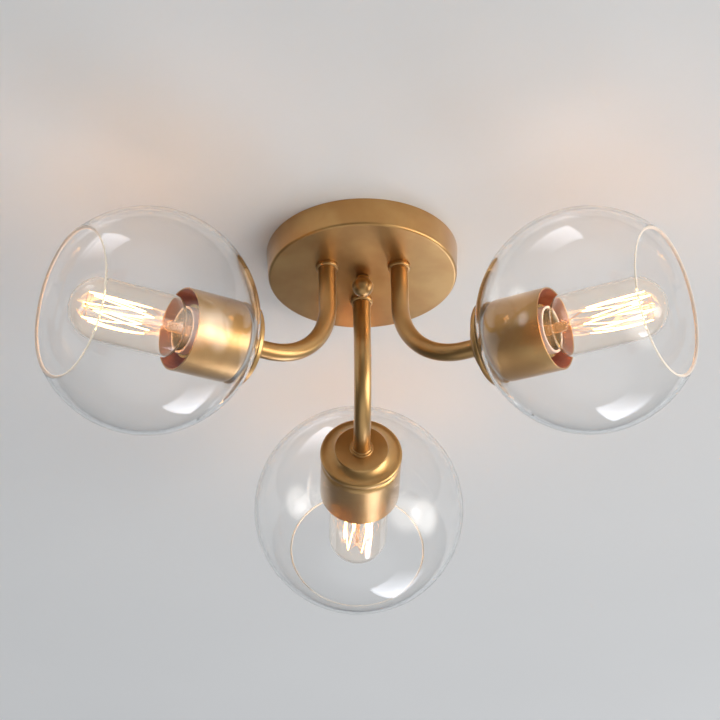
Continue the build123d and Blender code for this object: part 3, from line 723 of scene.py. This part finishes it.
class LIGHT_OT_globes(bpy.types.Operator):
    """Blows the three glass globes, each with a ground neck hole and a fire-polished mouth"""

    bl_idname = "ceiling_light.globes"
    bl_label = "Globes"

    def execute(self, context):
        lamps = settings()[2]
        reach, outer, wall = lamps.globe_reach / MM, lamps.globe / MM, lamps.glass / MM
        neck, inner = lamps.neck / MM, (lamps.globe - lamps.glass) / MM
        mouth = math.degrees(math.asin(lamps.mouth / lamps.globe))
        neck_outer = 180 - math.degrees(math.asin(neck / outer))
        neck_inner = 180 - math.degrees(math.asin(neck / inner))
        profile = arc(reach, outer, neck_outer, mouth, 96)
        lip = Vector((math.sin(math.radians(mouth)), math.cos(math.radians(mouth))))
        centre = Vector((0, reach)) + lip * (outer - wall / 2)
        across = Vector((-lip.y, lip.x))
        for k in range(1, 12):
            a = math.pi * k / 12
            profile.append(tuple(centre + lip * math.cos(a) * wall / 2 + across * math.sin(a) * wall / 2))
        profile += arc(reach, inner, mouth, neck_inner, 96)
        globe = turn("globe", profile, steps=192)
        smooth(globe, 50)
        lip_faces = []
        for face in globe.data.polygons:
            tilt = math.atan2(face.center.xy.length, face.center.z - lamps.globe_reach)
            if math.degrees(tilt) < mouth - 0.02:
                lip_faces.append(face.index)
        clear = glass("clear_blown_glass", "ffffff", 1.42, 0.06, 0.000002, "86b08e", 2.5)
        names = repeat_on_arms(globe, "globe_glass", "{side}_shade", "clear_glass", clear, ["{side}_globe"])
        finish_faces(names, lip_faces, fire_polished_lip_painted_glow())
        return {"FINISHED"}


class LIGHT_OT_sleeves(bpy.types.Operator):
    """Draws the three sleeves that hide the sockets and clamp the globes"""

    bl_idname = "ceiling_light.sleeves"
    bl_label = "Sleeves"

    def execute(self, context):
        lamps = settings()[2]
        outer, wall, opening = lamps.sleeve / MM, 1.2, 19.0
        back, mouth = lamps.sleeve_back / MM, lamps.sleeve_mouth / MM
        corners = [(opening, back, 0.2), (outer, back, 4.5), (outer, mouth, 0.45), (outer - wall, mouth, 0.45)]
        corners += [(outer - wall, back + wall, 3.3), (opening, back + wall, 0.2)]
        sleeve = turn("sleeve", rounded(corners, steps=8), steps=128)
        smooth(sleeve, 40)
        inside = []
        for face in sleeve.data.polygons:
            depth = face.center.z / MM - back
            if face.center.xy.length / MM < outer - wall + 0.1 and wall - 0.1 < depth < mouth - back - 0.5:
                inside.append(face.index)
        names = repeat_on_arms(
            sleeve, "drawn_sleeve", "{side}_retainer", "satin_brass", brass_finish(), ["{side}_sleeve"]
        )
        # the inside faces get the coppery colour painted in for the warm lamp light
        finish_faces(names, inside, painted_warm_inside())
        return {"FINISHED"}


class LIGHT_OT_sockets(bpy.types.Operator):
    """Moulds the socket bodies and rolls their threaded brass shells"""

    bl_idname = "ceiling_light.sockets"
    bl_label = "Sockets"

    def execute(self, context):
        lamps = settings()[2]
        pitch = lamps.thread_pitch / MM
        back, mouth, floor = 93.723, lamps.sleeve_mouth / MM - 2.4, 110.744
        flange_back, flange_front = 95.45, 98.25
        nipple, body, flange, bore = 5.0, 16.0, 20.7, 14.05
        corners = [(nipple, back, 0.3), (body, back, 0.6), (body, flange_back, 0.3), (flange, flange_back, 0.5)]
        corners += [(flange, flange_front, 0.5), (body, flange_front, 0.5), (body, mouth, 0.6)]
        corners += [(bore, mouth, 0.5), (bore, floor, 0.5), (nipple, floor, 0.3)]
        socket = turn("body", rounded(corners, steps=4), steps=96)
        smooth(socket, 40)
        repeat_on_arms(
            socket, "porcelain_socket", "fixture", "socket_moulding", porcelain(), ["{side}_socket_body"]
        )

        crest, root, sheet = 13.95, 13.55, 0.3
        thread_back, thread_front = floor + 2.5, mouth - 4.0
        shell = threaded("shell", crest, root, pitch, thread_back, thread_front)
        edit(shell)
        for height, way in ((thread_front, 2.0), (thread_back, -2.2)):
            square_off(shell, height, way, crest)
        face_outwards()
        apply_modifier(shell, "SOLIDIFY", thickness=sheet * MM, offset=-1)
        smooth(shell, 45)
        repeat_on_arms(shell, "screw_shell", "fixture", "bare_brass", bare_brass(), ["{side}_socket_shell"])
        return {"FINISHED"}


def square_off(piece, height, way, radius):
    """Extrudes the open edge at a height by way, in millimetres, and makes the new edge round."""
    bpy.ops.mesh.select_mode(type="VERT")
    bpy.ops.mesh.select_all(action="DESELECT")
    bpy.ops.mesh.select_non_manifold()
    bpy.ops.object.mode_set(mode="OBJECT")
    for vertex in piece.data.vertices:
        vertex.select = vertex.select and abs(vertex.co.z - height * MM) < 0.3 * MM
    bpy.ops.object.mode_set(mode="EDIT")
    pull((0, 0, way * MM))
    bpy.ops.object.mode_set(mode="OBJECT")
    for vertex in piece.data.vertices:
        if vertex.select:
            vertex.co.xy = vertex.co.xy.normalized() * radius * MM
    bpy.ops.object.mode_set(mode="EDIT")


class LIGHT_OT_bulbs(bpy.types.Operator):
    """Makes the bulbs: screw base, glass tube, stem, supports and glowing filament"""

    bl_idname = "ceiling_light.bulbs"
    bl_label = "Bulbs"

    def execute(self, context):
        lamps = settings()[2]
        pitch = lamps.thread_pitch / MM
        radius, wall, tip = lamps.bulb / MM, lamps.bulb_wall / MM, lamps.bulb_tip / MM
        base_back, base_front = 118.3, 140.7
        crest, root, cone, sheet = 13.12, 12.6, 12.5, 0.25
        thread_back, thread_front = base_back + 2.2, base_front - 4.6
        base = threaded("base", crest, root, pitch, thread_back, thread_front)
        edit(base)
        for height, step, end_radius, run in ((thread_front, 0.6, crest, 4.0), (thread_back, -1.2, cone, -1.0)):
            square_off(base, height, step, end_radius)
            pull((0, 0, run * MM))
        face_outwards()
        apply_modifier(base, "SOLIDIFY", thickness=sheet * MM, offset=-1)
        smooth(base, 45)
        repeat_on_arms(base, "screw_base", "{side}_bulb", "bulb_shell", bulb_shell(), ["{side}_bulb_base"])

        neck, shoulder = 12.2, base_front + 10.0
        outline = [(neck, base_front - 3.5)]
        for k in range(13):
            t = k / 12
            outline.append((neck + (radius - neck) * t * t * (3 - 2 * t), base_front + (shoulder - base_front) * t))
        outline += [(radius, shoulder + (tip - radius - shoulder) * k / 6) for k in range(1, 6)]
        outline += arc(tip - radius, radius, 90, 0, 24)
        tube = turn("tube", outline, steps=96, closed=False)
        apply_modifier(tube, "SOLIDIFY", thickness=wall * MM, offset=-1)
        smooth(tube, 60)
        clear = glass("clear_bulb_glass", "fdfcfa", 1.38, 0.03, 0.000003)
        # painted faint warm glow in the bulb's glass, though the glass is no lamp
        paint_glow(clear, "ffcf95", 0.025)
        repeat_on_arms(tube, "bulb_tube", "{side}_bulb", "bulb_glass", clear, ["{side}_bulb_glass"])

        foot, stem_radius, rod, bead = 121.9, 3.4, 1.2, 1.9
        stem_line = [(0, foot), (11.6, foot), (11.6, foot + 0.6), (8.2, foot + 3.4), (5.4, foot + 7.2)]
        stem_line += [(3.9, foot + 11.0), (stem_radius, foot + 15.0), (stem_radius, STEM_TOP - 2.6)]
        stem_line += [(2.6, STEM_TOP - 0.8), (rod, STEM_TOP), (rod, ROD_TIP - 3.4)]
        stem_line += arc(ROD_TIP - bead, bead, 140, 0, 10)
        stem = turn("stem", stem_line, steps=32, closed=False)
        smooth(stem, 60)
        stem_glass = glass("clear_stem_glass", "fafbf7", 1.5, 0.02, 0.00001)
        # painted orange glow in the stem, standing for filament light reflected in its flare
        paint_glow(stem_glass, "ffa860", 0.12)
        repeat_on_arms(stem, "glass_stem", "{side}_bulb", "stem_glass", stem_glass, ["{side}_bulb_stem"])

        wire = bend_wires("filament", [filament_points()])
        repeat_on_arms(wire, "glowing_filament", "{side}_bulb", "filament", glowing_filament(), ["{side}_filament"])
        supports = bend_wires("supports", support_points())
        repeat_on_arms(supports, "support_wires", "{side}_bulb", "filament", support_wire())
        return {"FINISHED"}


WIRE_RADIUS = {"filament": 0.36, "supports": 0.14}
FILAMENT_BENDS = 12
FILAMENT_BACK = Vector((8.8, 0, 166.6))
FILAMENT_FRONT = Vector((9.8, 0, 209.6))
STEM_TOP = 151.9
ROD_TIP = 213.8


def filament_bend(step):
    """Bend of the zigzag filament round the rod, in the lamp's own axes and millimetres."""
    turn_to = math.pi * (step + 0.5) / (FILAMENT_BENDS / 2)
    return Matrix.Rotation(turn_to, 3, "Z") @ (FILAMENT_FRONT if step % 2 else FILAMENT_BACK)


def filament_points():
    """The hot wire: each leg bows out and sags a little, and turns round a small hook at each bend."""
    points = []
    parts, gap, bow_out, sag, hook = 9, 0.12, 0.9, 0.7, 0.35
    for step in range(FILAMENT_BENDS - 1):
        start, end = filament_bend(step), filament_bend(step + 1)
        outwards = Vector(((start.x + end.x) / 2, (start.y + end.y) / 2, 0)).normalized()
        for k in range(parts + 1):
            t = (k + gap) / (parts + 2 * gap)
            bow = 4 * t * (1 - t)
            points.append(start.lerp(end, t) + outwards * bow_out * bow + Vector((sag * bow, 0, 0)))
        points.append(end + Vector((0, 0, -hook if step % 2 else hook)))
    return points[:-1]


def support_points():
    """Fine wires that fan out from the stem and from the rod's tip to the bends of the filament."""
    wires = []
    for step in range(FILAMENT_BENDS):
        bend = filament_bend(step)
        around = Vector((bend.x, bend.y, 0)).normalized()
        if step % 2:
            foot = around * 1.0 + Vector((0, 0, ROD_TIP - 2.6))
            knee = around * 7.6 + Vector((0, 0, bend.z + 1.4))
        else:
            foot = around * 2.6 + Vector((0, 0, STEM_TOP - 0.8))
            knee = around * 7.4 + Vector((0, 0, bend.z - 3.2))
        wires.append([foot, knee, bend + Vector((0, 0, 0.5 if step % 2 else -0.5))])
    return wires


def bend_wires(name, wires):
    """Several round wires as one piece: drawn as edges, made a curve with a round bevel, then a mesh."""
    made = [draw_line(name, [tuple(point * MM) for point in points]) for points in wires]
    leave_edit_mode()
    for piece in made:
        piece.select_set(True)
    bpy.context.view_layer.objects.active = made[0]
    if len(made) > 1:
        bpy.ops.object.join()
    bpy.ops.object.convert(target="CURVE")
    line = bpy.context.object
    line.data.bevel_depth = WIRE_RADIUS[name] * MM
    line.data.bevel_resolution = 2
    line.data.use_fill_caps = True
    bpy.ops.object.convert(target="MESH")
    wire = bpy.context.object
    wire.name = name
    edit(wire)
    weld(2e-6)
    face_outwards()
    smooth(wire, 60)
    return wire


class LIGHT_OT_hardware(bpy.types.Operator):
    """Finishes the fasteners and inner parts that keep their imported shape"""

    bl_idname = "ceiling_light.hardware"
    bl_label = "Hardware"

    def execute(self, context):
        zinc, brass = zinc_steel(), bpy.data.materials["drawn_brass"]
        steel = ("crossbar", "centre_stud", "stud_nut", "arm_nipples", "arm_washers", "arm_nuts")
        kept = dict.fromkeys((*steel, "lamp_nipples", "cap_nuts"), zinc)
        kept["ground_screw"] = green_passivate()
        rubber, insulator = silicone(), dark_glass()
        for side in ARM_AZIMUTHS:
            kept[f"{side}_gasket"] = rubber
            kept[f"{side}_spider"] = brass
            kept[f"{side}_centre_contact"] = brass
            kept[f"{side}_bulb_insulator"] = insulator
        for node, material in kept.items():
            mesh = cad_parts[node].data
            mesh.materials.clear()
            mesh.materials.append(material)
        return {"FINISHED"}


# pale backdrop of the whole scene, as inputs of a Background or an Emission
BACKDROP = {"Color": linear("f4f4f3"), "Strength": 0.66}
# name, compass direction and rise in degrees, width and height in metres, radiance, colour
SOFT_LIGHTS = (
    ("window_light", 57, -37, 1.6, 1.7, 5.2, "f3f6ff"),
    ("right_light", -7, -14, 2.8, 2.1, 5.4, "fffaf3"),
    ("front_light", -32, -24, 3.2, 2.6, 3.9, "fffaf3"),
    ("left_light", 195, -9, 1.0, 0.8, 2.6, "f6f8ff"),
)
LIGHT_DISTANCE = 3.0


def lamp_face(lamp):
    """The nodes of a soft light, and the place across its face, from 0 to 1 along X and Y."""
    lamp.use_nodes = True
    tree = lamp.node_tree
    place = add_node(tree, "ShaderNodeNewGeometry")
    return tree, add_node(tree, "ShaderNodeSeparateXYZ", links={"Vector": (place, "Parametric")})


def soften_round(lamp, edge):
    """Makes a soft light round and fades it towards its edge, as a lit umbrella does."""
    tree, part = lamp_face(lamp)
    flat = add_node(tree, "ShaderNodeCombineXYZ", links={"X": (part, "X"), "Y": (part, "Y")})
    from_middle = {"operation": "DISTANCE", 1: (0.5, 0.5, 0.0)}
    reach = add_node(tree, "ShaderNodeVectorMath", from_middle, {0: (flat, "Vector")})
    level = carry(tree, (reach, "Value"), 0.5, 0.5 - edge, ease="SMOOTHSTEP")
    feed(tree, level, tree.nodes["Emission"], "Strength")


def soften_window(lamp, edge, far_side):
    """Fades a soft light a little at its edges, and down to a part at its far side."""
    tree, part = lamp_face(lamp)
    level = carry(tree, (part, "X"), 0.0, 1.0, far_side, 1.0)
    for axis in ("X", "Y"):
        inwards = maths(tree, "PINGPONG", (part, axis), 0.5)
        level = maths(tree, "MULTIPLY", level, carry(tree, inwards, 0.0, edge, ease="SMOOTHSTEP"))
    feed(tree, level, tree.nodes["Emission"], "Strength")


def seen_straight(tree):
    """1 for what the camera sees straight or through clear glass, and 0 for what a surface reflects."""
    path = add_node(tree, "ShaderNodeLightPath")
    bounces = maths(tree, "ADD", (path, "Glossy Depth"), (path, "Diffuse Depth"))
    sight = maths(tree, "MAXIMUM", (path, "Is Camera Ray"), (path, "Is Transmission Ray"))
    return maths(tree, "MULTIPLY", maths(tree, "LESS_THAN", bounces, 0.5), sight)


def plain_backdrop():
    """Pale backdrop for what is seen straight, clear to everything else."""
    material = bpy.data.materials.new("plain_backdrop")
    tree = empty_tree(material)
    add_node(tree, "ShaderNodeOutputMaterial")
    clear = add_node(tree, "ShaderNodeBsdfTransparent")
    pale = add_node(tree, "ShaderNodeEmission", BACKDROP)
    mix_surface(tree, seen_straight(tree), (clear, "BSDF"), (pale, "Emission"))
    material.cycles.emission_sampling = "NONE"
    return material


def add_screen(name, width, height, matrix):
    """A screen before a soft light: straight sight through glass meets backdrop there, and light passes."""
    gap = 0.01
    leave_edit_mode()
    bpy.ops.mesh.primitive_plane_add(size=1)
    screen = bpy.context.object
    screen.name = name
    screen.matrix_world = matrix @ Matrix.Translation((0, 0, -gap)) @ Matrix.Diagonal((width, height, 1, 1))
    screen.data.materials.append(finish("plain_backdrop", plain_backdrop))


def add_soft_lights(scene):
    """Large soft lights round the ceiling light, each with its screen."""
    for name, compass, rise, width, height, radiance, shade in SOFT_LIGHTS:
        lamp = bpy.data.lights.new(name, "AREA")
        lamp.shape = "RECTANGLE"
        lamp.size, lamp.size_y = width, height
        lamp.energy = radiance * math.pi * width * height
        lamp.color = linear(shade)[:3]
        if name == "window_light":
            soften_window(lamp, 0.06, 0.0)
        else:
            soften_round(lamp, 0.35)
        stand = bpy.data.objects.new(name, lamp)
        scene.collection.objects.link(stand)
        way = Matrix.Rotation(math.radians(compass), 3, "Z") @ Matrix.Rotation(math.radians(-rise), 3, "Y")
        place = way @ Vector((LIGHT_DISTANCE, 0, 0))
        turn_to = (-place).to_track_quat("-Z", "Y").to_matrix().to_4x4()
        stand.matrix_world = Matrix.Translation(place) @ turn_to
        add_screen(f"{name}_screen", width, height, stand.matrix_world)


def add_ceiling(hole, side):
    """A round ceiling, in rings about a hole that the canopy covers."""
    leave_edit_mode()
    bpy.ops.mesh.primitive_circle_add(vertices=96, radius=hole, fill_type="NOTHING")
    ceiling = bpy.context.object
    ceiling.name = "ceiling"
    edit(ceiling)
    edge = hole
    for reach in (0.2, 0.6, side / 2):
        bpy.ops.mesh.extrude_region_move()
        bpy.ops.transform.resize(value=(reach / edge, reach / edge, 1))
        edge = reach
    face_outwards()
    if ceiling.data.polygons[0].normal.z > 0:
        ceiling.data.flip_normals()
    ceiling.data.materials.append(ceiling_paint())


def add_world(scene, strength):
    """Even light from all round. Seen straight or through glass, the surroundings are a plain backdrop."""
    scene.world = bpy.data.worlds.new("even_light")
    tree = empty_tree(scene.world)
    around = add_node(tree, "ShaderNodeTexCoord")
    part = add_node(tree, "ShaderNodeSeparateXYZ", links={"Vector": (around, "Generated")})
    # brighter to the right, above, and most of all straight below, where the pale floor lies
    side = carry(tree, (part, "X"), -1.0, 1.0, 0.35, 1.6)
    floor = carry(tree, (part, "Z"), -0.72, -0.95, 0.0, 2.6, "SMOOTHSTEP")
    sky = carry(tree, (part, "Z"), 0.05, 0.4, 0.0, 1.9)
    total = maths(tree, "ADD", maths(tree, "ADD", side, floor), sky)
    level = maths(tree, "MULTIPLY", total, strength)
    even = add_node(tree, "ShaderNodeBackground", {"Color": linear("eff3f7")}, {"Strength": level})
    pale = add_node(tree, "ShaderNodeBackground", BACKDROP)
    shaders = {"Fac": seen_straight(tree), 1: (even, "Background"), 2: (pale, "Background")}
    both = add_node(tree, "ShaderNodeMixShader", links=shaders)
    add_node(tree, "ShaderNodeOutputWorld", links={"Surface": (both, "Shader")})


def add_camera(scene, lens, distance):
    """The photograph's view, from below and in front."""
    elevation, swung = math.radians(-34.0015), math.radians(-2.1118)
    pan, tilt, roll = math.radians(0.0753), math.radians(-1.8685), math.radians(1.2065)
    place = Vector((0, -math.cos(elevation), math.sin(elevation))) * distance
    camera = bpy.data.cameras.new("photo_view")
    camera.sensor_width = 36
    camera.lens = lens
    camera.clip_end = 50
    eye = bpy.data.objects.new("photo_view", camera)
    scene.collection.objects.link(eye)
    eye.matrix_world = (
        Matrix.Rotation(swung, 4, "Z")
        @ Matrix.Translation(place)
        @ Matrix.Rotation(math.pi / 2 - elevation, 4, "X")
        @ Matrix.Rotation(pan, 4, "Y")
        @ Matrix.Rotation(tilt, 4, "X")
        @ Matrix.Rotation(-roll, 4, "Z")
    )
    scene.camera = eye


class LIGHT_OT_stage(bpy.types.Operator):
    """Sets up the ceiling, the soft lamps, the even light and the camera"""

    bl_idname = "ceiling_light.stage"
    bl_label = "Stage"

    def execute(self, context):
        canopy, stage, scene = settings()[0], settings()[4], context.scene
        overlap = 0.002
        add_ceiling(canopy.rim - overlap, stage.ceiling_size)
        add_world(scene, stage.world_strength)
        add_soft_lights(scene)
        add_camera(scene, stage.lens, stage.distance)
        scene.view_settings.view_transform = "Standard"
        return {"FINISHED"}


OPERATORS = (
    LIGHT_OT_canopy,
    LIGHT_OT_finial,
    LIGHT_OT_arms,
    LIGHT_OT_caps,
    LIGHT_OT_globes,
    LIGHT_OT_sleeves,
    LIGHT_OT_sockets,
    LIGHT_OT_bulbs,
    LIGHT_OT_hardware,
    LIGHT_OT_stage,
)
GROUPS = {
    "light_canopy": CanopySizes,
    "light_arms": ArmSizes,
    "light_lamps": LampSizes,
    "light_finishes": Finishes,
    "light_stage": StageSettings,
}


class LIGHT_PT_panel(bpy.types.Panel):
    """Lists the pieces of the ceiling light and their sizes"""

    bl_label = "Ceiling light"
    bl_space_type = "VIEW_3D"
    bl_region_type = "UI"
    bl_category = "Ceiling light"

    def draw(self, context):
        for operator in OPERATORS:
            self.layout.operator(operator.bl_idname)
        for name, group in GROUPS.items():
            box = self.layout.box()
            box.label(text=name.replace("_", " "))
            for key in group.__annotations__:
                box.prop(getattr(context.scene, name), key)


def register():
    for group in GROUPS.values():
        bpy.utils.register_class(group)
    for operator in OPERATORS:
        bpy.utils.register_class(operator)
    bpy.utils.register_class(LIGHT_PT_panel)
    for name, group in GROUPS.items():
        setattr(bpy.types.Scene, name, bpy.props.PointerProperty(type=group))


def unregister():
    for name in GROUPS:
        delattr(bpy.types.Scene, name)
    bpy.utils.unregister_class(LIGHT_PT_panel)
    for operator in reversed(OPERATORS):
        bpy.utils.unregister_class(operator)
    for group in reversed(list(GROUPS.values())):
        bpy.utils.unregister_class(group)


def main():
    register()
    for operator in OPERATORS:
        group, action = operator.bl_idname.split(".")
        getattr(getattr(bpy.ops, group), action)()


if __name__ == "__main__":
    main()
